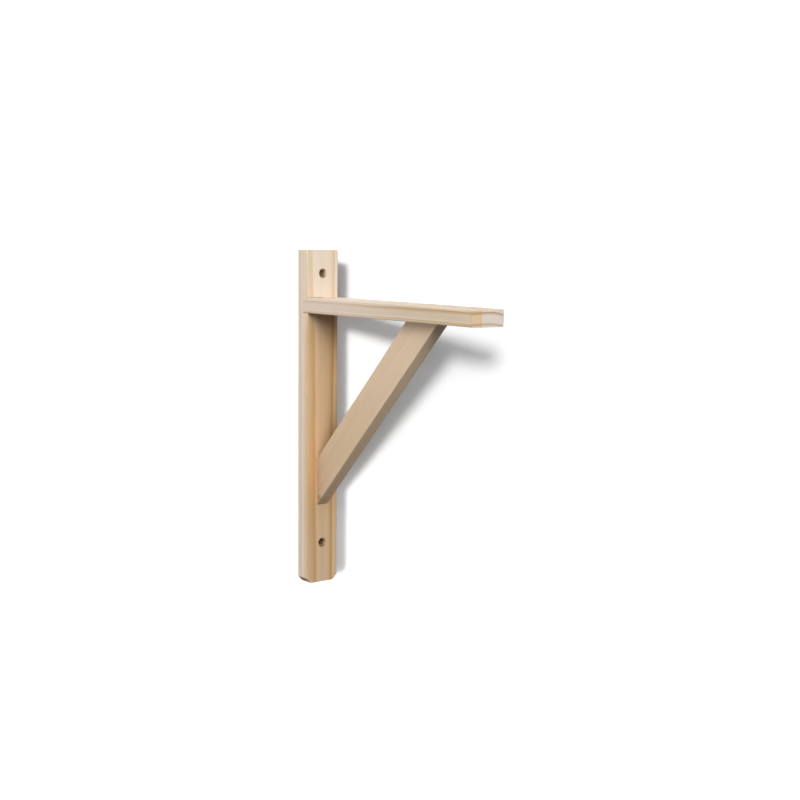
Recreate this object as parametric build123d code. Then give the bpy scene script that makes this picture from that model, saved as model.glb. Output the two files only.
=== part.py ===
from build123d import *
import os
from math import cos, radians, sin, tan

# Wooden shelf bracket: an upright that is screwed to the wall, an arm housed in
# the upright that carries the shelf, and a diagonal brace standing on edge.
# Millimetres. X runs across the bracket, Y = 0 is the wall face, the arm
# reaches along -Y, and Z = 0 is the arm's top, where the shelf rests.

# Upright
upright_width = 28.0
upright_thickness = 12.0
upright_height = 250.0
upright_above_seat = 35.0
upright_corner_cut = 4.0

# Arm
arm_thickness = 11.0
arm_reach = 200.0
arm_corner_cut = 5.0

# Housing: the notch across the upright's front that takes the arm's back end,
# whose top is planed a little lower than the seat so that it slides in
housing_depth = 5.5
housing_play = 0.1
housed_end_relief = 0.3

# Brace
brace_thickness = 10.0
brace_depth = 24.5
brace_angle = 44.0
brace_drop = 109.3

# Planed edges are eased by a small radius
edge_ease = 0.8
brace_edge_ease = 0.6

# Holes for the two screws that fasten the bracket to a wall
wall_hole_d = 4.2
wall_hole_mouth_d = 7.0
wall_hole_from_top = 17.0
wall_hole_from_bottom = 30.0
countersink_angle = 90.0

# Wood screws driven from the back, two into the arm and one into the brace
screw_d = 3.5
screw_core_d = 2.4
screw_length = 30.0
screw_head_d = 7.0
screw_head_rim = 0.3
screw_point_length = 4.0
screw_sink = 0.2
screw_play = 0.05
recess_span = 3.8
recess_width = 0.8
recess_depth = 1.6
arm_screw_from_side = 7.0
brace_screw_below_corner = 9.0

# Dowel between the arm and the head of the brace
dowel_d = 5.0
dowel_in_arm = 6.5
dowel_in_brace = 11.5
dowel_play = 0.05
dowel_end_gap = 0.3
dowel_chamfer = 0.5
dowel_from_corner = 12.0

# Places that follow from the sizes above
upright_top = upright_above_seat
upright_bottom = upright_above_seat - upright_height
front_y = -upright_thickness
arm_back_y = front_y + housing_depth
arm_front_y = -arm_reach
arm_mid_z = -arm_thickness / 2
arm_screw_x = upright_width / 2 - arm_screw_from_side
brace_slope = tan(radians(brace_angle))
inner_foot_z = -arm_thickness - brace_drop
outer_foot_z = inner_foot_z - brace_depth / sin(radians(brace_angle))
inner_head_y = front_y - brace_drop * brace_slope
outer_head_y = inner_head_y - brace_depth / cos(radians(brace_angle))
brace_screw_z = inner_foot_z - brace_screw_below_corner
dowel_y = inner_head_y - dowel_from_corner
cutter = 2 * upright_height


def is_long(edge, direction):
    """True for a straight edge that runs along the given direction."""
    along = edge.tangent_at(0.5).dot(Vector(*direction).normalized())
    return edge.geom_type == GeomType.LINE and abs(abs(along) - 1) < 1e-6


def eased(solid, direction, radius):
    """Rounds a planed lath's edges that run along the given direction."""
    return fillet([edge for edge in solid.edges() if is_long(edge, direction)], radius)


def countersunk_hole(hole_d, mouth_d, length):
    """A cutter for a screw hole whose mouth is at Z = 0 and which runs down along -Z."""
    sink = (mouth_d - hole_d) / 2 / tan(radians(countersink_angle / 2))
    profile = Polyline(
        (0, 1),
        (mouth_d / 2, 1),
        (mouth_d / 2, 0),
        (hole_d / 2, -sink),
        (hole_d / 2, -length),
        (0, -length),
        close=True,
    )
    return revolve(Plane.XZ * make_face(profile), Axis.Z)


def from_front(x, z):
    """Places a cutter on the upright's front face, running back to the wall."""
    return Location(Plane(origin=(x, front_y, z), z_dir=(0, -1, 0), x_dir=(1, 0, 0)))


def from_back(x, z):
    """Places a screw or its hole on the wall face, running out towards the arm."""
    return Location(Plane(origin=(x, 0, z), z_dir=(0, 1, 0), x_dir=(1, 0, 0)))


def screw_hole():
    """The hole for one screw driven from the back: mouth, countersink and bore."""
    bore_d = screw_d + 2 * screw_play
    rim_depth = screw_sink + screw_head_rim
    mouth_d = screw_head_d + 2 * (screw_play + rim_depth * tan(radians(countersink_angle / 2)))
    return countersunk_hole(bore_d, mouth_d, screw_length + screw_sink + screw_play)


def make_screw():
    """One countersunk wood screw, head up at Z = -screw_sink and point down."""
    head_top = -screw_sink
    cone = (screw_head_d - screw_d) / 2 / tan(radians(countersink_angle / 2))
    tip = head_top - screw_length
    profile = Polyline(
        (0, head_top),
        (screw_head_d / 2, head_top),
        (screw_head_d / 2, head_top - screw_head_rim),
        (screw_d / 2, head_top - screw_head_rim - cone),
        (screw_d / 2, tip + screw_point_length),
        (screw_core_d / 2, tip + screw_point_length * 0.6),
        (0, tip),
        close=True,
    )
    screw = revolve(Plane.XZ * make_face(profile), Axis.Z)
    for turn in (0, 90):
        slot = Pos(0, 0, head_top) * Rot(0, 0, turn) * Box(recess_span, recess_width, 2 * recess_depth)
        screw -= slot
    return screw


def make_dowel():
    """The blind dowel between the arm and the brace, with chamfered ends."""
    length = dowel_in_arm + dowel_in_brace - 2 * dowel_end_gap
    dowel = extrude(Circle(dowel_d / 2), length)
    dowel = chamfer(dowel.edges().filter_by(GeomType.CIRCLE), dowel_chamfer)
    return Pos(0, dowel_y, -arm_thickness - dowel_in_brace + dowel_end_gap) * dowel


def dowel_hole():
    """The bore that the dowel sits in, blind at both ends."""
    bore = extrude(Circle(dowel_d / 2 + dowel_play), dowel_in_arm + dowel_in_brace)
    return Pos(0, dowel_y, -arm_thickness - dowel_in_brace) * bore


def make_upright():
    """The wall batten with its housing, corner cuts and screw holes."""
    half = upright_width / 2
    cut = upright_corner_cut
    outline = Polyline(
        (-half, upright_top),
        (half, upright_top),
        (half, upright_bottom + cut),
        (half - cut, upright_bottom),
        (-half + cut, upright_bottom),
        (-half, upright_bottom + cut),
        close=True,
    )
    batten = extrude(Plane.XZ * make_face(outline), upright_thickness)
    batten = eased(batten, (0, 0, 1), edge_ease)
    notch_top = housing_play - housed_end_relief
    notch_bottom = -arm_thickness - housing_play
    notch = Box(cutter, cutter, notch_top - notch_bottom)
    batten -= Pos(0, arm_back_y - cutter / 2, (notch_top + notch_bottom) / 2) * notch
    wall_hole = countersunk_hole(wall_hole_d, wall_hole_mouth_d, upright_thickness + 1)
    for z in (upright_top - wall_hole_from_top, upright_bottom + wall_hole_from_bottom):
        batten -= from_front(0, z) * wall_hole
    for x in (-arm_screw_x, arm_screw_x):
        batten -= from_back(x, arm_mid_z) * screw_hole()
    batten -= from_back(0, brace_screw_z) * screw_hole()
    return batten


def make_arm():
    """The shelf arm, with the corners of its front end cut off."""
    half = upright_width / 2
    cut = arm_corner_cut
    plan = Polyline(
        (-half, arm_back_y),
        (-half, arm_front_y + cut),
        (-half + cut, arm_front_y),
        (half - cut, arm_front_y),
        (half, arm_front_y + cut),
        (half, arm_back_y),
        close=True,
    )
    arm = extrude(Plane.XY * make_face(plan), -arm_thickness)
    arm = eased(arm, (0, 1, 0), edge_ease)
    relief = Box(cutter, housing_depth, 2 * housed_end_relief)
    arm -= Pos(0, (front_y + arm_back_y) / 2, 0) * relief
    for x in (-arm_screw_x, arm_screw_x):
        arm -= from_back(x, arm_mid_z) * screw_hole()
    return arm - dowel_hole()


def make_brace():
    """The diagonal strut, mitred to the upright's front and the arm's underside."""
    under = -arm_thickness
    side = Polyline(
        (front_y, inner_foot_z),
        (front_y, outer_foot_z),
        (outer_head_y, under),
        (inner_head_y, under),
        close=True,
    )
    strut = extrude(Plane.YZ * make_face(side), brace_thickness / 2, both=True)
    along = (0, -sin(radians(brace_angle)), cos(radians(brace_angle)))
    strut = eased(strut, along, brace_edge_ease)
    strut -= from_back(0, brace_screw_z) * screw_hole()
    return strut - dowel_hole()


nodes = {
    "upright": make_upright(),
    "arm": make_arm(),
    "brace": make_brace(),
    "arm_screw_left": from_back(-arm_screw_x, arm_mid_z) * make_screw(),
    "arm_screw_right": from_back(arm_screw_x, arm_mid_z) * make_screw(),
    "brace_foot_screw": from_back(0, brace_screw_z) * make_screw(),
    "brace_head_dowel": make_dowel(),
}

os.makedirs("parts", exist_ok=True)
for name, solid in nodes.items():
    export_step(solid, f"parts/{name}.step")
    box = solid.bounding_box()
    print(name, "volume", round(solid.volume, 1), "low", box.min, "high", box.max)
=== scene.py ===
"""Looks and studio for the wooden shelf bracket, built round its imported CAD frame."""

import logging
import math
from dataclasses import dataclass, field
from enum import Enum

import bpy
from mathutils import Matrix, Vector


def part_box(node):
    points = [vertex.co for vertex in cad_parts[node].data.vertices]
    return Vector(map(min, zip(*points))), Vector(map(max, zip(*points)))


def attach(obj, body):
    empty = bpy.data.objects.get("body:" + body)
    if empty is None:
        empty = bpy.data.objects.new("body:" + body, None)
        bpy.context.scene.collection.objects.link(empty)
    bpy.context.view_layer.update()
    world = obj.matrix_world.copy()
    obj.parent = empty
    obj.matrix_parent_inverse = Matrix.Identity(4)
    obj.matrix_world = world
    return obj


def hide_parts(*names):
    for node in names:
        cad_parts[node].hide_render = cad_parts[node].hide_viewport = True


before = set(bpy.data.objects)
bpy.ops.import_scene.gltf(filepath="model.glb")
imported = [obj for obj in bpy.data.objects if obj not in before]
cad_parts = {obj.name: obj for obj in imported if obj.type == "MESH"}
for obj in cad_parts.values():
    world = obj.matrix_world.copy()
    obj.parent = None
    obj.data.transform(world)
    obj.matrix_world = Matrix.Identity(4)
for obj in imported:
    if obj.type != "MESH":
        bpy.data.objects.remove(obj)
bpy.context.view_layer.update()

LOG = logging.getLogger("bracket")
MM = 0.001
TINY = 1e-6

Triple = tuple[float, float, float]
Colour = tuple[float, float, float]

# Kinds of node group socket
NUMBER = "NodeSocketFloat"
COLOUR = "NodeSocketColor"
VECTOR = "NodeSocketVector"

# How often each pattern in the wood repeats in a metre: twice across the fibres, then along them
SLOW_SWAY = (45, 45, 9)
QUICK_SWAY = (260, 260, 22)
CLOUDS = (75, 75, 6)
FIBRES = (1500, 1500, 26)
BROAD_STREAKS = (330, 330, 6)
FLECKS = (2600, 2600, 110)

# How much the quick sway counts beside the slow one, and the broad streaks beside the fibres
QUICK_SHARE = 0.45
BROAD_SHARE = 0.8

# A growth ring, in shares of its width: the late wood darkens slowly and ends at once, and the
# spring wood after it starts a little lighter
LATE_RISE = (0.58, 0.97)
LATE_FALL = (0.94, 1.0)
LATE_CURVE = 1.3
SPRING_END = 0.24
SPRING_LIGHT = 0.05

# Years differ: the step from one to the next, and the strength of the palest
YEAR_STEP = 0.618
PALEST_YEAR = 0.6

# Rings in the sap wood, beside those in the heart, and how high late wood stands in the relief
SAP_RINGS = 0.5
LATE_HEIGHT = 0.5

# The heart's clouds: the noise values that they run between, and the heart's share at each
CLOUD_EDGE = (0.25, 0.75)
CLOUD_SHARE = (0.75, 1.1)

# Resin flecks: the noise values between which they come in, and how much they darken
FLECK_EDGE = (0.71, 0.78)
FLECK_DARK = 0.07

# Towards a lath's foot the wood gets paler between these heights, in metres from the heart's low end: it has
# less heart colour, and painted light brightens it in place of lamp light
FOOT_FADE = (-0.045, 0.02)
FOOT_HEART = 0.9
FOOT_PAINTED_LIGHT = 0.07

# A cut's colours come in with the share of its normal that runs along the grain
SLANT_CUT = (0.2, 0.65)
END_CUT = (0.8, 0.97)

# What late wood does to the colour of a cut
LATE_ON_CUT = (0.6, 0.46, 0.33, 1.0)


def linear(red: int, green: int, blue: int) -> Colour:
    """Turns a colour as it is seen on a screen into the linear values that a shader takes.

    Args:
        red: Red, 0 to 255.
        green: Green, 0 to 255.
        blue: Blue, 0 to 255.

    Returns:
        The three linear values, 0 to 1.
    """
    values = [channel / 255 for channel in (red, green, blue)]
    curved = [v / 12.92 if v <= 0.04045 else ((v + 0.055) / 1.055) ** 2.4 for v in values]
    return curved[0], curved[1], curved[2]


def rgba(colour: Colour) -> tuple[float, float, float, float]:
    """The same colour with full alpha."""
    return (*colour, 1.0)


class Wiring:
    """Adds nodes to a node tree and links them in as few words as possible."""

    def __init__(self, tree: bpy.types.NodeTree) -> None:
        """Starts with the tree to add to."""
        self.tree = tree

    def add(self, kind: str, **settings: object) -> bpy.types.Node:
        """Adds one node and sets its properties.

        Args:
            kind: The node's type name.
            settings: Properties of the node, by name.

        Returns:
            The new node.
        """
        node = self.tree.nodes.new(kind)
        for name, value in settings.items():
            setattr(node, name, value)
        return node

    def feed(self, socket: bpy.types.NodeSocket, source: object) -> None:
        """Links a socket to the source, or writes the source into it as its value.

        Args:
            socket: The input socket.
            source: An output socket, a number or a vector.
        """
        if isinstance(source, bpy.types.NodeSocket):
            self.tree.links.new(source, socket)
        else:
            socket.default_value = source

    def math(self, operation: str, *sources: object) -> bpy.types.NodeSocket:
        """One arithmetic step.

        Args:
            operation: Name of the operation.
            sources: Its inputs in order, sockets or numbers.

        Returns:
            The result's socket.
        """
        node = self.add("ShaderNodeMath", operation=operation)
        for socket, source in zip(node.inputs, sources):
            self.feed(socket, source)
        return node.outputs[0]

    def vector(self, operation: str, *sources: object, output: str = "Vector") -> bpy.types.NodeSocket:
        """One step of vector arithmetic.

        Args:
            operation: Name of the operation.
            sources: Its inputs in order, sockets or vectors.
            output: Name of the output, Value where the result is a number.

        Returns:
            The result's socket.
        """
        node = self.add("ShaderNodeVectorMath", operation=operation)
        for socket, source in zip(node.inputs, sources):
            self.feed(socket, source)
        return node.outputs[output]

    def stretch(self, vector: object, scale: Triple) -> bpy.types.NodeSocket:
        """Scales a vector along each axis."""
        return self.vector("MULTIPLY", vector, scale)

    def split(self, vector: object) -> tuple[bpy.types.NodeSocket, ...]:
        """Takes a vector apart.

        Args:
            vector: The vector's socket.

        Returns:
            The sockets of its X, Y and Z.
        """
        node = self.add("ShaderNodeSeparateXYZ")
        self.feed(node.inputs[0], vector)
        return tuple(node.outputs)

    def noise(self, vector: object, detail: float = 2.0, roughness: float = 0.5) -> bpy.types.NodeSocket:
        """Plain noise at the scale of the vector that comes in.

        Args:
            vector: The place to read the noise at.
            detail: How many finer layers are added.
            roughness: How strong the finer layers are.

        Returns:
            The noise value's socket, about 0.5 in the mean.
        """
        node = self.add("ShaderNodeTexNoise")
        self.feed(node.inputs["Vector"], vector)
        node.inputs["Scale"].default_value = 1.0
        node.inputs["Detail"].default_value = detail
        node.inputs["Roughness"].default_value = roughness
        return node.outputs["Fac"]

    def ripple(
        self, place: object, scale: Triple, detail: float = 2.0, roughness: float = 0.5
    ) -> bpy.types.NodeSocket:
        """Noise about zero, with its own scale along each axis.

        Args:
            place: Where on the wood to read it.
            scale: How often it repeats in a metre, along each axis.
            detail: How many finer layers are added.
            roughness: How strong the finer layers are.

        Returns:
            The socket of the value, 0 in the mean.
        """
        return self.math("SUBTRACT", self.noise(self.stretch(place, scale), detail, roughness), 0.5)

    def ramp(
        self, source: object, low: float, high: float, bottom: float = 0.0, top: float = 1.0
    ) -> bpy.types.NodeSocket:
        """Maps one range smoothly to another, clamped at both ends.

        Args:
            source: The value that comes in.
            low: Its low end.
            high: Its high end.
            bottom: What the low end becomes.
            top: What the high end becomes.

        Returns:
            The mapped value's socket.
        """
        node = self.add("ShaderNodeMapRange", interpolation_type="SMOOTHSTEP")
        ends = {"Value": source, "From Min": low, "From Max": high, "To Min": bottom, "To Max": top}
        for name, value in ends.items():
            self.feed(node.inputs[name], value)
        return node.outputs[0]

    def mix(self, factor: object, first: object, second: object, blend: str = "MIX") -> bpy.types.NodeSocket:
        """Mixes two colours.

        Args:
            factor: How much of the second.
            first: First colour.
            second: Second colour.
            blend: How they mix.

        Returns:
            The mixed colour's socket.
        """
        node = self.add("ShaderNodeMix", data_type="RGBA", blend_type=blend)
        for index, source in ((0, factor), (6, first), (7, second)):
            self.feed(node.inputs[index], source)
        return node.outputs[2]

    def bump(self, height: object, strength: float, distance: float) -> bpy.types.NodeSocket:
        """Fine relief on a surface.

        Args:
            height: The height's socket.
            strength: How much of it shows.
            distance: How high a height of 1 stands, in metres.

        Returns:
            The socket of the changed normal.
        """
        node = self.add("ShaderNodeBump")
        node.inputs["Strength"].default_value = strength
        node.inputs["Distance"].default_value = distance
        self.feed(node.inputs["Height"], height)
        return node.outputs[0]


def blank_material(name: str) -> tuple[bpy.types.Material, Wiring]:
    """Makes a material whose node tree is still empty.

    Args:
        name: Name of the material.

    Returns:
        The material, and the wiring that fills it.
    """
    material = bpy.data.materials.new(name)
    material.use_nodes = True
    material.node_tree.nodes.clear()
    return material, Wiring(material.node_tree)


NewGroup = tuple[bpy.types.NodeTree, Wiring, bpy.types.Node, bpy.types.Node]


def new_group(name: str, inputs: dict[str, tuple[str, object]], outputs: dict[str, str]) -> NewGroup:
    """Makes an empty shader node group with named sockets.

    Args:
        name: Name of the group.
        inputs: For each input, its socket type and its usual value.
        outputs: For each output, its socket type.

    Returns:
        The group, its wiring, and its input and output nodes.
    """
    tree = bpy.data.node_groups.new(name, "ShaderNodeTree")
    for label, (kind, value) in inputs.items():
        socket = tree.interface.new_socket(label, in_out="INPUT", socket_type=kind)
        if value is not None:
            socket.default_value = value
    for label, kind in outputs.items():
        tree.interface.new_socket(label, in_out="OUTPUT", socket_type=kind)
    wiring = Wiring(tree)
    return tree, wiring, wiring.add("NodeGroupInput"), wiring.add("NodeGroupOutput")


def ring_lines(
    w: Wiring, given: bpy.types.Node, along: bpy.types.NodeSocket
) -> tuple[bpy.types.NodeSocket, bpy.types.NodeSocket]:
    """Growth rings round the pith line, with some years paler than others.

    Args:
        w: The group's wiring.
        given: The group's inputs.
        along: How far along the grain a place lies.

    Returns:
        How much late wood a place has, and how much its spring wood is lightened.
    """
    place = given.outputs["Vector"]
    axis = w.vector("MULTIPLY_ADD", given.outputs["Pith Lean"], along, given.outputs["Pith"])
    from_pith = w.vector("SUBTRACT", place, axis)
    flat = w.vector("LENGTH", w.stretch(from_pith, (1.0, 1.0, 0.0)), output="Value")
    slow = w.ripple(place, SLOW_SWAY, 1.0)
    quick = w.ripple(place, QUICK_SWAY)
    sway = w.math("ADD", slow, w.math("MULTIPLY", quick, QUICK_SHARE))
    radius = w.math("ADD", flat, w.math("MULTIPLY", sway, given.outputs["Wander"]))
    count = w.math("DIVIDE", w.math("ADD", radius, given.outputs["Ring Shift"]), given.outputs["Ring Width"])
    part = w.math("FRACT", count)
    rise = w.math("POWER", w.ramp(part, *LATE_RISE), LATE_CURVE)
    late = w.math("MULTIPLY", rise, w.ramp(part, *LATE_FALL, 1.0, 0.0))
    year = w.math("FRACT", w.math("MULTIPLY", w.math("FLOOR", count), YEAR_STEP))
    late = w.math("MULTIPLY", late, w.math("ADD", PALEST_YEAR, w.math("MULTIPLY", year, 1.0 - PALEST_YEAR)))
    return late, w.ramp(part, 0.0, SPRING_END, SPRING_LIGHT, 0.0)


def heart_share(w: Wiring, given: bpy.types.Node, above: bpy.types.NodeSocket) -> bpy.types.NodeSocket:
    """How much of the heart's colour a place has: clouded, and less of it towards the foot.

    Args:
        w: The group's wiring.
        given: The group's inputs.
        above: How far a place lies above the heart's low end.

    Returns:
        The share's socket, 0 for sap wood.
    """
    place = given.outputs["Vector"]
    zone = w.add("ShaderNodeMapRange", data_type="FLOAT_VECTOR", interpolation_type="SMOOTHSTEP")
    for index, source in ((6, place), (7, given.outputs["Heart From"]), (8, given.outputs["Heart To"])):
        w.feed(zone.inputs[index], source)
    across, deep, along = w.split(zone.outputs["Vector"])
    heart = w.math("MULTIPLY", across, w.math("MULTIPLY", deep, along))
    heart = w.math("MULTIPLY", heart, w.ramp(above, *FOOT_FADE, FOOT_HEART, 1.0))
    cloud = w.noise(w.stretch(place, CLOUDS), 1.0)
    return w.math("MULTIPLY", heart, w.ramp(cloud, *CLOUD_EDGE, *CLOUD_SHARE))


def ring_wood_group() -> bpy.types.NodeTree:
    """Softwood cut from a log: growth rings round an off-side pith, fibres and resin flecks.

    Returns:
        The node group. Its vector is in metres, with the grain along Z.
    """
    tree, w, given, out = new_group(
        "ring_wood",
        {
            "Vector": (VECTOR, None),
            "Pith": (VECTOR, (0.0, -0.03, 0.0)),
            "Pith Lean": (VECTOR, (0.0, 0.0, 0.0)),
            "Ring Width": (NUMBER, 0.005),
            "Ring Shift": (NUMBER, 0.0),
            "Wander": (NUMBER, 0.0015),
            "Sap Wood": (COLOUR, (0.8, 0.6, 0.4, 1.0)),
            "Heart Wood": (COLOUR, (0.8, 0.6, 0.5, 1.0)),
            "Late Wood": (COLOUR, (0.9, 0.75, 0.6, 1.0)),
            "Heart From": (VECTOR, (-2.0, -2.0, -2.0)),
            "Heart To": (VECTOR, (-1.0, -1.0, -1.0)),
            "Heart Low": (NUMBER, -1.0),
            "Ring Strength": (NUMBER, 0.6),
            "Fibre Strength": (NUMBER, 0.1),
        },
        {"Color": COLOUR, "Late": NUMBER, "Height": NUMBER},
    )
    place = given.outputs["Vector"]
    along = w.split(place)[2]
    above = w.math("SUBTRACT", along, given.outputs["Heart Low"])
    late, spring = ring_lines(w, given, along)
    heart = heart_share(w, given, above)
    base = w.mix(heart, given.outputs["Sap Wood"], given.outputs["Heart Wood"])
    strength = w.math("MULTIPLY", late, given.outputs["Ring Strength"])
    strength = w.math("MULTIPLY", strength, w.ramp(heart, 0.0, 1.0, SAP_RINGS, 1.0))
    ringed = w.mix(strength, base, given.outputs["Late Wood"], "MULTIPLY")
    fibre = w.ripple(place, FIBRES, 3.0, 0.6)
    broad = w.ripple(place, BROAD_STREAKS)
    fleck = w.ramp(w.noise(w.stretch(place, FLECKS), 1.0), *FLECK_EDGE)
    streak = w.math("ADD", fibre, w.math("MULTIPLY", broad, BROAD_SHARE))
    shade = w.math("ADD", 1.0, w.math("MULTIPLY", streak, given.outputs["Fibre Strength"]))
    shade = w.math("ADD", shade, w.math("SUBTRACT", spring, w.math("MULTIPLY", fleck, FLECK_DARK)))
    # Painted light: the wood is brightened towards the foot in place of more lamp light there
    shade = w.math("ADD", shade, w.ramp(above, *FOOT_FADE, FOOT_PAINTED_LIGHT, 0.0))
    toned = w.add("ShaderNodeVectorMath", operation="SCALE")
    w.feed(toned.inputs[0], ringed)
    w.feed(toned.inputs["Scale"], shade)
    w.feed(out.inputs["Color"], toned.outputs[0])
    w.feed(out.inputs["Late"], late)
    w.feed(out.inputs["Height"], w.math("ADD", w.math("MULTIPLY", late, LATE_HEIGHT), fibre))
    return tree


def cut_wood_group() -> bpy.types.NodeTree:
    """Changes the colour of wood where a cut runs across the fibres.

    Returns:
        The node group. Its axis is the grain's direction.
    """
    tree, w, given, out = new_group(
        "cut_wood",
        {
            "Color": (COLOUR, None),
            "Late": (NUMBER, 0.0),
            "Axis": (VECTOR, (0.0, 0.0, 1.0)),
            "Slant Cut": (COLOUR, (0.6, 0.5, 0.3, 1.0)),
            "End Cut": (COLOUR, (0.7, 0.6, 0.5, 1.0)),
        },
        {"Color": COLOUR},
    )
    normal = w.add("ShaderNodeNewGeometry").outputs["Normal"]
    across = w.math("ABSOLUTE", w.vector("DOT_PRODUCT", normal, given.outputs["Axis"], output="Value"))
    slant = w.ramp(across, *SLANT_CUT)
    end = w.ramp(across, *END_CUT)
    cut = w.mix(end, given.outputs["Slant Cut"], given.outputs["End Cut"])
    ringed = w.mix(given.outputs["Late"], cut, LATE_ON_CUT, "MULTIPLY")
    w.feed(out.inputs["Color"], w.mix(slant, given.outputs["Color"], ringed))
    return tree


def mark_group() -> bpy.types.NodeTree:
    """Darkens a round spot that runs in along Y, more so the deeper it goes, which is painted shade deeper
    inside a hole.

    Returns:
        The node group. Its vector is measured from the middle of the spot.
    """
    tree, w, given, out = new_group(
        "wood_mark",
        {
            "Color": (COLOUR, None),
            "Vector": (VECTOR, None),
            "Radius": (NUMBER, 0.0035),
            "Depth": (NUMBER, 0.001),
            "Tint": (COLOUR, (0.4, 0.3, 0.2, 1.0)),
        },
        {"Color": COLOUR},
    )
    skin = 0.05 * MM
    soft_edge = (-0.1 * MM, 0.2 * MM)
    full_shade_depth = 1.8 * MM
    shade_at_mouth = 0.55
    from_middle = w.vector("LENGTH", w.stretch(given.outputs["Vector"], (1.0, 0.0, 1.0)), output="Value")
    depth = w.split(given.outputs["Vector"])[1]
    beyond = w.math("SUBTRACT", from_middle, given.outputs["Radius"])
    inside = w.ramp(beyond, *soft_edge, 1.0, 0.0)
    # Painted shade: the darkening grows from part strength at the mouth to full strength deeper in, as shade
    # does inside a hole
    deep = w.ramp(depth, skin, full_shade_depth, shade_at_mouth, 1.0)
    within = w.math("LESS_THAN", depth, given.outputs["Depth"])
    within = w.math("MULTIPLY", within, w.ramp(depth, 0.0, skin))
    mask = w.math("MULTIPLY", inside, w.math("MULTIPLY", deep, within))
    w.feed(out.inputs["Color"], w.mix(mask, given.outputs["Color"], given.outputs["Tint"], "MULTIPLY"))
    return tree


@dataclass(frozen=True)
class Groups:
    """The node groups that the wood finishes share."""

    rings: bpy.types.NodeTree
    cuts: bpy.types.NodeTree
    marks: bpy.types.NodeTree


@dataclass(frozen=True)
class Mark:
    """A drilled hole, a joint line or a resin spot, darker than the wood round it. A hole's darkness is
    drill-browned wood with painted shade deeper in, a joint line's is a painted shadow of the gap, and a
    resin spot's is the wood's own colour.
    """

    place: Triple
    turn: Triple = (0.0, 0.0, 0.0)
    stretch: Triple = (1.0, 1.0, 1.0)
    depth: float = 0.001
    tint: Colour = (0.4, 0.3, 0.2)

    def darken_wood(
        self, w: Wiring, place: bpy.types.NodeSocket, colour: bpy.types.NodeSocket, groups: Groups
    ) -> bpy.types.NodeSocket:
        """Lays the mark's darkening on the wood, which is partly painted shade in a hole and a painted
        shadow along the joint line.

        Args:
            w: The material's wiring.
            place: The object's own coordinates.
            colour: The wood's colour without the mark.
            groups: The node groups that the wood is made from.

        Returns:
            The socket of the colour with the mark.
        """
        lay = w.add("ShaderNodeMapping", vector_type="TEXTURE")
        w.feed(lay.inputs["Vector"], place)
        lay.inputs["Location"].default_value = self.place
        lay.inputs["Rotation"].default_value = self.turn
        lay.inputs["Scale"].default_value = self.stretch
        mark = w.add("ShaderNodeGroup", node_tree=groups.marks)
        w.feed(mark.inputs["Color"], colour)
        w.feed(mark.inputs["Vector"], lay.outputs[0])
        mark.inputs["Depth"].default_value = self.depth
        mark.inputs["Tint"].default_value = rgba(self.tint)
        return mark.outputs["Color"]


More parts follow.
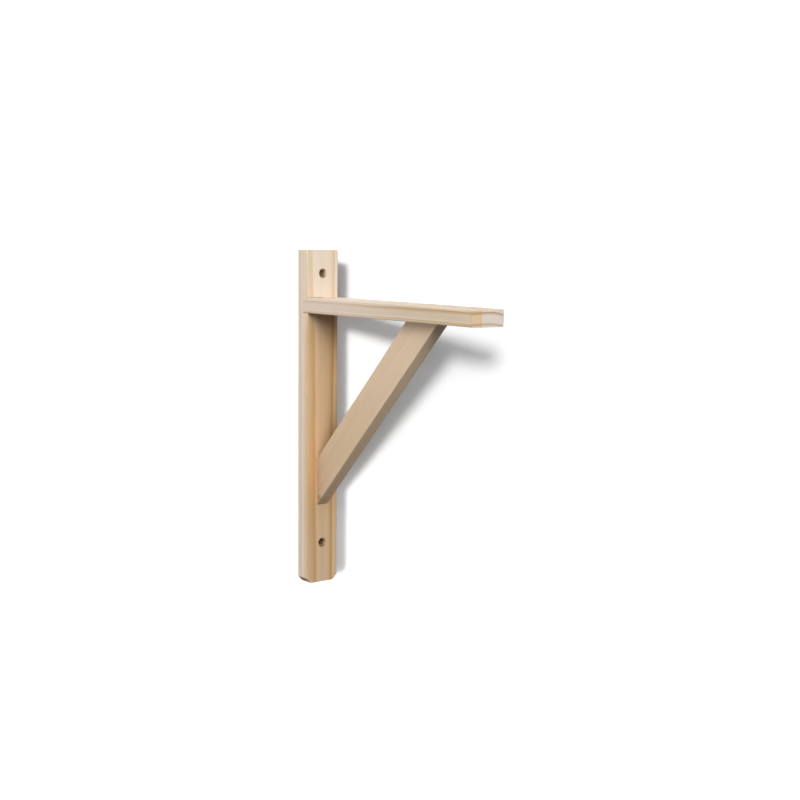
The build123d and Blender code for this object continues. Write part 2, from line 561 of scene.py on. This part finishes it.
@dataclass(frozen=True)
class LathFinish:
    """Planed and sanded wood on one lath or dowel.

    The pith and the heart are placed in metres from the lath's centre, with Z along the grain. The
    heart's colour comes in between heart_from and heart_to on each axis, and fades below heart_low.
    """

    name: str
    node: str
    centre: Triple
    turn: Triple
    grain: Triple
    pith: tuple[float, float]
    ring_width: float
    ring_shift: float
    wander: float
    sap: Colour
    heart: Colour
    heart_from: Triple
    heart_to: Triple
    heart_low: float = -1.0
    pith_lean: tuple[float, float] = (0.0, 0.0)
    late: Colour = (0.84, 0.67, 0.42)
    slant: Colour = linear(194, 169, 138)
    end: Colour = linear(207, 196, 183)
    ring_strength: float = 1.1
    fibre_strength: float = 0.17
    spring_roughness: float = 0.66
    late_roughness: float = 0.52
    specular: float = 0.12
    relief: float = 0.12
    relief_height: float = 0.2 * MM
    marks: tuple[Mark, ...] = ()

    def make(self, groups: Groups) -> bpy.types.Material:
        """Builds the material.

        Args:
            groups: The node groups that it is made from.

        Returns:
            The material.
        """
        material, w = blank_material(self.name)
        place = w.add("ShaderNodeTexCoord").outputs["Object"]
        wood = self.rings(w, place, groups)
        cut = w.add("ShaderNodeGroup", node_tree=groups.cuts)
        w.feed(cut.inputs["Color"], wood.outputs["Color"])
        w.feed(cut.inputs["Late"], wood.outputs["Late"])
        cut.inputs["Axis"].default_value = self.grain
        cut.inputs["Slant Cut"].default_value = rgba(self.slant)
        cut.inputs["End Cut"].default_value = rgba(self.end)
        colour = cut.outputs["Color"]
        for mark in self.marks:
            colour = mark.darken_wood(w, place, colour, groups)
        roughness = w.ramp(wood.outputs["Late"], 0.0, 1.0, self.spring_roughness, self.late_roughness)
        shader = w.add("ShaderNodeBsdfPrincipled")
        shader.inputs["Specular IOR Level"].default_value = self.specular
        w.feed(shader.inputs["Base Color"], colour)
        w.feed(shader.inputs["Roughness"], roughness)
        w.feed(shader.inputs["Normal"], w.bump(wood.outputs["Height"], self.relief, self.relief_height))
        w.feed(w.add("ShaderNodeOutputMaterial").inputs["Surface"], shader.outputs[0])
        return material

    def rings(self, w: Wiring, place: bpy.types.NodeSocket, groups: Groups) -> bpy.types.Node:
        """Lays the ring wood along the lath.

        Args:
            w: The material's wiring.
            place: The object's own coordinates.
            groups: The node groups that the wood is made from.

        Returns:
            The ring wood's node.
        """
        lay = w.add("ShaderNodeMapping", vector_type="TEXTURE")
        w.feed(lay.inputs["Vector"], place)
        lay.inputs["Location"].default_value = self.centre
        lay.inputs["Rotation"].default_value = self.turn
        wood = w.add("ShaderNodeGroup", node_tree=groups.rings)
        w.feed(wood.inputs["Vector"], lay.outputs[0])
        values = {
            "Pith": (*self.pith, 0.0),
            "Pith Lean": (*self.pith_lean, 0.0),
            "Ring Width": self.ring_width,
            "Ring Shift": self.ring_shift,
            "Wander": self.wander,
            "Sap Wood": rgba(self.sap),
            "Heart Wood": rgba(self.heart),
            "Late Wood": rgba(self.late),
            "Heart From": self.heart_from,
            "Heart To": self.heart_to,
            "Heart Low": self.heart_low,
            "Ring Strength": self.ring_strength,
            "Fibre Strength": self.fibre_strength,
        }
        for label, value in values.items():
            wood.inputs[label].default_value = value
        return wood


@dataclass
class Camera:
    """The photograph's view."""

    position: Triple = (-0.6184, -0.8837, 0.0508)
    yaw: float = 38.467
    pitch: float = 6.771
    roll: float = -0.534
    lens: float = 64.66
    sensor: float = 36.0
    clip: tuple[float, float] = (0.01, 50.0)

    def build(self) -> None:
        """Makes the camera and sets it as the scene's."""
        yaw, pitch, roll = (math.radians(v) for v in (self.yaw, self.pitch, self.roll))
        ahead = Vector((math.sin(yaw) * math.cos(pitch), math.cos(yaw) * math.cos(pitch), -math.sin(pitch)))
        level = Vector((math.cos(yaw), -math.sin(yaw), 0.0))
        down = ahead.cross(level)
        right = level * math.cos(roll) + down * math.sin(roll)
        low = down * math.cos(roll) - level * math.sin(roll)
        data = bpy.data.cameras.new("photo_camera")
        data.lens = self.lens
        data.sensor_width = self.sensor
        data.clip_start, data.clip_end = self.clip
        holder = bpy.data.objects.new("photo_camera", data)
        turn = Matrix((right, -low, -ahead)).transposed().to_4x4()
        holder.matrix_world = Matrix.Translation(self.position) @ turn
        bpy.context.scene.collection.objects.link(holder)
        bpy.context.scene.camera = holder


class Side(Enum):
    """Which way a stage sheet faces."""

    FRONT = "front"
    UP = "up"


@dataclass
class Stage:
    """A white backdrop close behind the bracket and a pale floor far below it.

    A glow is the white that the camera sees on top of the light that falls on a sheet. The
    backdrop's rises towards the bracket's foot, where the photograph's shadow is paler: painted
    light that pales the bracket's cast shadow there.
    """

    wall_y: float = 0.046
    wall_size: float = 6.0
    floor_z: float = -0.85
    white: float = 0.86
    mottling: float = 0.01
    mottle_scale: Triple = (9, 9, 9)
    wall_glow: float = 0.215
    foot_painted_light: float = 0.42
    foot_zone: tuple[float, float] = (-0.2, -0.13)
    floor_glow: float = 0.8
    sheets: list[bpy.types.Object] = field(default_factory=list)

    def build(self) -> None:
        """Makes the backdrop and the floor."""
        self.sheet("backdrop", (0.0, self.wall_y, 0.0), Side.FRONT)
        self.sheet("floor", (0.0, 0.0, self.floor_z), Side.UP)

    def sheet(self, name: str, centre: Triple, side: Side) -> None:
        """Adds one flat stage sheet that only its front side shows.

        Args:
            name: Name of the sheet.
            centre: Its centre in metres.
            side: Which way it faces.
        """
        bpy.ops.object.select_all(action="DESELECT")
        turn = (math.radians(90), 0.0, 0.0) if side is Side.FRONT else (0.0, 0.0, 0.0)
        bpy.ops.mesh.primitive_plane_add(size=self.wall_size, location=centre, rotation=turn)
        sheet = bpy.context.object
        sheet.name = name
        sheet.data.materials.append(self.paint(name, side))
        self.sheets.append(sheet)

    def paint(self, name: str, side: Side) -> bpy.types.Material:
        """Matt white whose back lets the camera through; the floor's throws no light up at the bracket.

        Args:
            name: Name of the sheet that it covers.
            side: Which way the sheet faces.

        Returns:
            The material.
        """
        material, w = blank_material(name + "_paint")
        place = w.add("ShaderNodeTexCoord").outputs["Object"]
        ray = w.add("ShaderNodeLightPath")
        surface = w.add("ShaderNodeNewGeometry")
        matt = w.add("ShaderNodeBsdfDiffuse")
        mottle = w.noise(w.stretch(place, self.mottle_scale))
        whites = [rgba((self.white + more,) * 3) for more in (0.0, self.mottling)]
        w.feed(matt.inputs["Color"], w.mix(mottle, *whites))
        open_side = w.math("MAXIMUM", surface.outputs["Backfacing"], ray.outputs["Is Shadow Ray"])
        if side is Side.FRONT:
            height = w.split(place)[1]
            # Painted light: the backdrop's glow rises towards the foot and pales the bracket's shadow there
            glow = w.ramp(height, *self.foot_zone, self.foot_painted_light, self.wall_glow)
        else:
            open_side = w.math("MAXIMUM", open_side, ray.outputs["Is Diffuse Ray"])
            glow = self.floor_glow
        shine = w.add("ShaderNodeEmission")
        w.feed(shine.inputs["Strength"], w.math("MULTIPLY", ray.outputs["Is Camera Ray"], glow))
        front = w.add("ShaderNodeAddShader")
        w.feed(front.inputs[0], matt.outputs[0])
        w.feed(front.inputs[1], shine.outputs[0])
        both = w.add("ShaderNodeMixShader")
        w.feed(both.inputs[0], open_side)
        w.feed(both.inputs[1], front.outputs[0])
        w.feed(both.inputs[2], w.add("ShaderNodeBsdfTransparent").outputs[0])
        w.feed(w.add("ShaderNodeOutputMaterial").inputs["Surface"], both.outputs[0])
        return material


@dataclass(frozen=True)
class Softbox:
    """A square lamp that is aimed at the bracket."""

    name: str
    place: Triple
    power: float
    size: float


@dataclass(frozen=True)
class Sun:
    """A lamp with parallel light, and how wide it looks in degrees."""

    name: str
    travel: Triple
    strength: float
    angle: float


WALL_TRAVEL = (0.896, 1.0, -0.224)


@dataclass
class Studio:
    """The lamps and the world."""

    target: Triple = (0.0, -0.05, -0.02)
    softboxes: tuple[Softbox, ...] = (
        Softbox("left_softbox", (-0.7, -0.3, 0.5), 3.4, 0.6),
        Softbox("upper_softbox", (0.0, -0.7, 0.9), 2.1, 0.6),
        Softbox("front_softbox", (-0.2, -0.76, 0.24), 4.45, 0.3),
        Softbox("rear_softbox", (0.55, 0.75, 0.12), 3.0, 0.6),
    )
    fill: Sun = Sun("fill", (-0.433, 0.75, -0.5), 0.2, 20.0)
    wall_suns: tuple[Sun, ...] = (
        Sun("wall_core", WALL_TRAVEL, 2.7, 3.4),
        Sun("wall_blur", WALL_TRAVEL, 1.3, 11.0),
    )
    world_strength: float = 0.025

    def build(self, stage: Stage) -> None:
        """Makes every light.

        Args:
            stage: The backdrop and floor, which the bracket's own lamps leave out.
        """
        pieces = [o for o in bpy.data.objects if o.type == "MESH" and o not in stage.sheets]
        on_stage = self.group("stage_only", stage.sheets)
        on_piece = self.group("bracket_only", pieces)
        for box in self.softboxes:
            data = bpy.data.lights.new(box.name, "AREA")
            data.energy = box.power
            data.size = box.size
            self.hang(data, Vector(self.target) - Vector(box.place), box.place, on_piece)
        self.sun(self.fill, on_piece)
        for sun in self.wall_suns:
            self.sun(sun, on_stage)
        self.world()

    def group(self, name: str, members: list[bpy.types.Object]) -> bpy.types.Collection:
        """A collection that says what a lamp lights.

        Args:
            name: Name of the collection.
            members: The objects in it.

        Returns:
            The collection.
        """
        collection = bpy.data.collections.new(name)
        for member in members:
            collection.objects.link(member)
        return collection

    def hang(self, data: bpy.types.Light, travel: Vector, place: Triple, lit: bpy.types.Collection) -> None:
        """Hangs a lamp and says what it lights.

        Args:
            data: The lamp's data.
            travel: Which way its light travels.
            place: Where it hangs.
            lit: What it lights.
        """
        lamp = bpy.data.objects.new(data.name, data)
        lamp.location = place
        lamp.rotation_euler = travel.to_track_quat("-Z", "Y").to_euler()
        lamp.light_linking.receiver_collection = lit
        bpy.context.scene.collection.objects.link(lamp)

    def sun(self, sun: Sun, lit: bpy.types.Collection) -> None:
        """Adds one lamp with parallel light.

        Args:
            sun: The lamp.
            lit: What it lights.
        """
        data = bpy.data.lights.new(sun.name, "SUN")
        data.energy = sun.strength
        data.angle = math.radians(sun.angle)
        self.hang(data, Vector(sun.travel), (0.0, 0.0, 1.0), lit)

    def world(self) -> None:
        """A faint even fill that the camera sees as white."""
        world = bpy.data.worlds.new("studio")
        bpy.context.scene.world = world
        world.use_nodes = True
        world.node_tree.nodes.clear()
        w = Wiring(world.node_tree)
        glow = w.add("ShaderNodeBackground")
        glow.inputs["Color"].default_value = (1.0, 1.0, 1.0, 1.0)
        ray = w.add("ShaderNodeLightPath")
        seen = w.math("MAXIMUM", ray.outputs["Is Camera Ray"], ray.outputs["Is Glossy Ray"])
        seen = w.math("MAXIMUM", seen, ray.outputs["Is Transmission Ray"])
        w.feed(glow.inputs["Strength"], w.ramp(seen, 0.0, 1.0, self.world_strength, 1.0))
        w.feed(w.add("ShaderNodeOutputWorld").inputs["Surface"], glow.outputs[0])


BRACE_ANGLE = math.radians(44)
HOLE_DEPTH = 11.9 * MM
# Drill-browned wood and painted shade inside the wall holes
HOLE_BROWN_AND_SHADE = (0.6, 0.48, 0.34)


@dataclass
class Laths:
    """The three pine laths and the dowel, which keep their CAD shapes and get their wood."""

    finishes: tuple[LathFinish, ...] = (
        LathFinish(
            "pine_upright_wood",
            "upright",
            centre=(0.0, -0.006, -0.09),
            turn=(0.0, 0.0, 0.0),
            grain=(0.0, 0.0, 1.0),
            pith=(-0.0185, 0.025),
            pith_lean=(0.0309, 0.0183),
            ring_width=0.0088,
            ring_shift=0.0192,
            ring_strength=1.3,
            wander=0.0026,
            sap=linear(228, 212, 192),
            heart=linear(222, 187, 146),
            heart_from=(-2.0, -0.001, 0.1),
            heart_to=(-1.0, -0.0057, 0.055),
            heart_low=-0.075,
            # The upright's slant cuts are mostly its foot's down-facing chamfers; their darker colour is
            # partly cut grain and partly painted shade
            slant=linear(162, 141, 116),
            marks=(
                # The two wall holes: drill-browned wood with painted shade that deepens into each bore
                Mark((0.0, -0.012, 0.018), depth=HOLE_DEPTH, tint=HOLE_BROWN_AND_SHADE),
                Mark((0.0, -0.012, -0.185), depth=HOLE_DEPTH, tint=HOLE_BROWN_AND_SHADE),
                # Painted shadow of the gap along the arm's top where it meets the upright's front
                Mark((-0.0065, -0.0122, 0.0002), stretch=(2.2, 1.0, 0.13), tint=(0.3, 0.22, 0.15)),
            ),
        ),
        LathFinish(
            "pine_arm_wood",
            "arm",
            centre=(0.0, -0.1, -0.0055),
            turn=(math.radians(90), 0.0, 0.0),
            grain=(0.0, 1.0, 0.0),
            pith=(-0.005, -0.058),
            ring_width=0.0073,
            ring_shift=0.0029,
            wander=0.0014,
            sap=linear(223, 206, 190),
            heart=linear(198, 180, 156),
            heart_from=(-2.0, -2.0, -0.08),
            heart_to=(-1.0, -1.0, 0.08),
        ),
        LathFinish(
            "pine_brace_wood",
            "brace",
            centre=(0.0, -0.075, -0.075),
            turn=(BRACE_ANGLE, 0.0, 0.0),
            grain=(0.0, -math.sin(BRACE_ANGLE), math.cos(BRACE_ANGLE)),
            pith=(0.035, 0.001),
            ring_width=0.0048,
            ring_shift=-0.0002,
            wander=0.0016,
            sap=linear(219, 195, 167),
            heart=linear(216, 188, 156),
            heart_from=(-2.0, -2.0, 0.08),
            heart_to=(-1.0, -1.0, -0.06),
            ring_strength=0.5,
            marks=(
                Mark(
                    (-0.0054, -0.0147, -0.1495),
                    turn=(0.0, 0.0, math.radians(-90)),
                    stretch=(0.66, 1.0, 0.6),
                    tint=(0.68, 0.52, 0.34),
                ),
            ),
        ),
        LathFinish(
            "beech_dowel_wood",
            "brace_head_dowel",
            centre=(0.0, -0.12955, -0.0135),
            turn=(0.0, 0.0, 0.0),
            grain=(0.0, 0.0, 1.0),
            pith=(0.03, 0.012),
            ring_width=0.0022,
            ring_shift=0.0,
            wander=0.0008,
            sap=linear(214, 180, 142),
            heart=linear(206, 168, 130),
            heart_from=(-2.0, -2.0, 0.008),
            heart_to=(-1.0, -1.0, -0.008),
            ring_strength=0.35,
            fibre_strength=0.22,
        ),
    )

    def dress(self, groups: Groups) -> None:
        """Puts each piece's wood into its CAD node.

        Args:
            groups: The node groups that the wood is made from.
        """
        for finish in self.finishes:
            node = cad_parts[finish.node]
            material = finish.make(groups)
            for socket in node.material_slots:
                socket.material = material
            LOG.info("%s wears %s", finish.node, finish.name)


@dataclass(frozen=True)
class ZincFinish:
    """Bright zinc plating, dulled unevenly."""

    name: str = "zinc_plating"
    tint: Colour = (0.62, 0.57, 0.44)
    shade: Colour = (0.50, 0.46, 0.36)
    bright_roughness: float = 0.28
    dull_roughness: float = 0.46
    cloud_scale: Triple = (700, 700, 700)
    cloud_edge: tuple[float, float] = (0.3, 0.7)
    grit_scale: Triple = (6000, 6000, 6000)
    relief: float = 0.1
    relief_height: float = 0.05 * MM

    def make(self) -> bpy.types.Material:
        """Builds the material.

        Returns:
            The material.
        """
        material, w = blank_material(self.name)
        place = w.add("ShaderNodeTexCoord").outputs["Object"]
        dull = w.noise(w.stretch(place, self.cloud_scale), 3.0)
        grit = w.noise(w.stretch(place, self.grit_scale), 1.0)
        shader = w.add("ShaderNodeBsdfPrincipled")
        shader.inputs["Metallic"].default_value = 1.0
        colour = w.mix(w.ramp(dull, *self.cloud_edge), rgba(self.tint), rgba(self.shade))
        roughness = w.ramp(dull, *self.cloud_edge, self.bright_roughness, self.dull_roughness)
        w.feed(shader.inputs["Base Color"], colour)
        w.feed(shader.inputs["Roughness"], roughness)
        w.feed(shader.inputs["Normal"], w.bump(grit, self.relief, self.relief_height))
        w.feed(w.add("ShaderNodeOutputMaterial").inputs["Surface"], shader.outputs[0])
        return material


def only(piece: bpy.types.Object) -> None:
    """Selects one object alone and makes it the active one.

    Args:
        piece: The object.
    """
    bpy.ops.object.select_all(action="DESELECT")
    piece.select_set(True)
    bpy.context.view_layer.objects.active = piece


@dataclass
class WoodScrew:
    """One countersunk wood screw with its thread and cross recess, driven from the back.

    The thread's tooth takes its share of the pitch to each side of the crest, and the recess's
    wings narrow to their shares of the span and the width at the bottom.
    """

    name: str
    node: str
    sides: int = 32
    head_radius: float = 3.5 * MM
    head_bevel: float = 0.12 * MM
    head_rim: float = 0.3 * MM
    neck: float = 1.88 * MM
    shank_radius: float = 1.62 * MM
    core_radius: float = 1.2 * MM
    crest_radius: float = 1.75 * MM
    plain_part: float = 9.0 * MM
    length: float = 30.0 * MM
    point: float = 5.0 * MM
    pitch: float = 1.5 * MM
    tooth_share: float = 0.3
    rings_per_turn: int = 8
    recess_span: float = 3.8 * MM
    recess_width: float = 0.9 * MM
    recess_depth: float = 1.7 * MM
    recess_narrowing: tuple[float, float] = (0.35, 0.6)
    smooth_angle: float = 35.0

    def build(self, finish: bpy.types.Material) -> bpy.types.Object:
        """Models the screw in place of its CAD node.

        Args:
            finish: The zinc material.

        Returns:
            The finished screw.
        """
        low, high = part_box(self.node)
        screw = self.turn_body()
        self.cut_recess(screw)
        self.cut_thread(screw)
        screw.name = screw.data.name = self.name
        screw.location = ((low.x + high.x) / 2, high.y, (low.z + high.z) / 2)
        screw.rotation_euler = (math.radians(-90), 0.0, 0.0)
        only(screw)
        bpy.ops.object.transform_apply(location=True, rotation=True, scale=True)
        bpy.ops.object.shade_smooth_by_angle(angle=math.radians(self.smooth_angle))
        screw.data.materials.clear()
        screw.data.materials.append(finish)
        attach(screw, "root")
        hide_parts(self.node)
        LOG.info("%s stands for %s", self.name, self.node)
        return screw

    def profile(self) -> list[tuple[float, float]]:
        """The rings of the plain body from the head down.

        Returns:
            Each ring's depth and radius.
        """
        rings = [
            (0.0, self.head_radius - self.head_bevel),
            (self.head_bevel, self.head_radius),
            (self.head_rim, self.head_radius),
            (self.head_rim + self.neck, self.shank_radius),
            (self.plain_part, self.shank_radius),
        ]
        step = self.pitch / self.rings_per_turn
        rows = int((self.length - self.plain_part) / step) - 1
        return rings + [(self.plain_part + step * (row + 1), self.core_radius) for row in range(rows)]

    def turn_body(self) -> bpy.types.Object:
        """Pulls the body out ring by ring, head at Z = 0 and point down.

        Returns:
            The body, closed at the point.
        """
        bpy.ops.object.select_all(action="DESELECT")
        rings = self.profile()
        bpy.ops.mesh.primitive_circle_add(vertices=self.sides, radius=rings[0][1], fill_type="NGON")
        body = bpy.context.object
        bpy.ops.object.mode_set(mode="EDIT")
        bpy.ops.mesh.select_all(action="SELECT")
        for (depth, radius), (deeper, wanted) in zip(rings, rings[1:]):
            bpy.ops.mesh.extrude_region_move(TRANSFORM_OT_translate={"value": (0.0, 0.0, depth - deeper)})
            ratio = wanted / radius
            bpy.ops.transform.resize(value=(ratio, ratio, 1.0), center_override=(0.0, 0.0, -deeper))
        last = rings[-1][0] - self.length
        bpy.ops.mesh.extrude_region_move(TRANSFORM_OT_translate={"value": (0.0, 0.0, last)})
        bpy.ops.mesh.merge(type="CENTER")
        bpy.ops.mesh.select_all(action="SELECT")
        bpy.ops.mesh.normals_make_consistent(inside=False)
        bpy.ops.object.mode_set(mode="OBJECT")
        return body

    def cut_thread(self, screw: bpy.types.Object) -> None:
        """Moves the vertices below the plain part in and out along a helix.

        Args:
            screw: The turned body.
        """
        for vertex in screw.data.vertices:
            depth = -vertex.co.z
            radius = math.hypot(vertex.co.x, vertex.co.y)
            if depth <= self.plain_part + TINY or radius < TINY:
                continue
            turn = math.atan2(vertex.co.y, vertex.co.x) / math.tau
            along = (depth / self.pitch - turn) % 1.0
            tooth = max(0.0, 1.0 - abs(along - 0.5) / self.tooth_share)
            start = min(1.0, (depth - self.plain_part) / self.pitch)
            taper = min(1.0, (self.length - depth) / self.point)
            wanted = taper * (self.core_radius + (self.crest_radius - self.core_radius) * tooth * start)
            vertex.co.x *= wanted / radius
            vertex.co.y *= wanted / radius

    def cut_recess(self, screw: bpy.types.Object) -> None:
        """Sinks the cross recess into the head, one tapered wing at a time.

        Args:
            screw: The turned body.
        """
        for angle in (0.0, 90.0):
            bpy.ops.object.select_all(action="DESELECT")
            bpy.ops.mesh.primitive_cube_add(size=1.0)
            wing = bpy.context.object
            bpy.ops.object.mode_set(mode="EDIT")
            bpy.ops.mesh.select_all(action="SELECT")
            bpy.ops.transform.resize(value=(self.recess_span, self.recess_width, 2 * self.recess_depth))
            bpy.ops.object.mode_set(mode="OBJECT")
            for vertex in wing.data.vertices:
                if vertex.co.z < 0:
                    vertex.co.x *= self.recess_narrowing[0]
                    vertex.co.y *= self.recess_narrowing[1]
            wing.rotation_euler = (0.0, 0.0, math.radians(angle))
            cut = screw.modifiers.new("recess", "BOOLEAN")
            cut.operation = "DIFFERENCE"
            cut.solver = "EXACT"
            cut.object = wing
            only(screw)
            bpy.ops.object.modifier_apply(modifier=cut.name)
            bpy.data.objects.remove(wing, do_unlink=True)


def main() -> None:
    """Builds the scene in order: camera, stage, wood, metal, light."""
    logging.basicConfig(level=logging.INFO)
    bpy.context.scene.view_settings.view_transform = "Standard"
    Camera().build()
    stage = Stage()
    stage.build()
    Laths().dress(Groups(ring_wood_group(), cut_wood_group(), mark_group()))
    zinc = ZincFinish().make()
    for node in ("arm_screw_left", "arm_screw_right", "brace_foot_screw"):
        WoodScrew(node + "_threaded", node).build(zinc)
    Studio().build(stage)


if __name__ == "__main__":
    main()
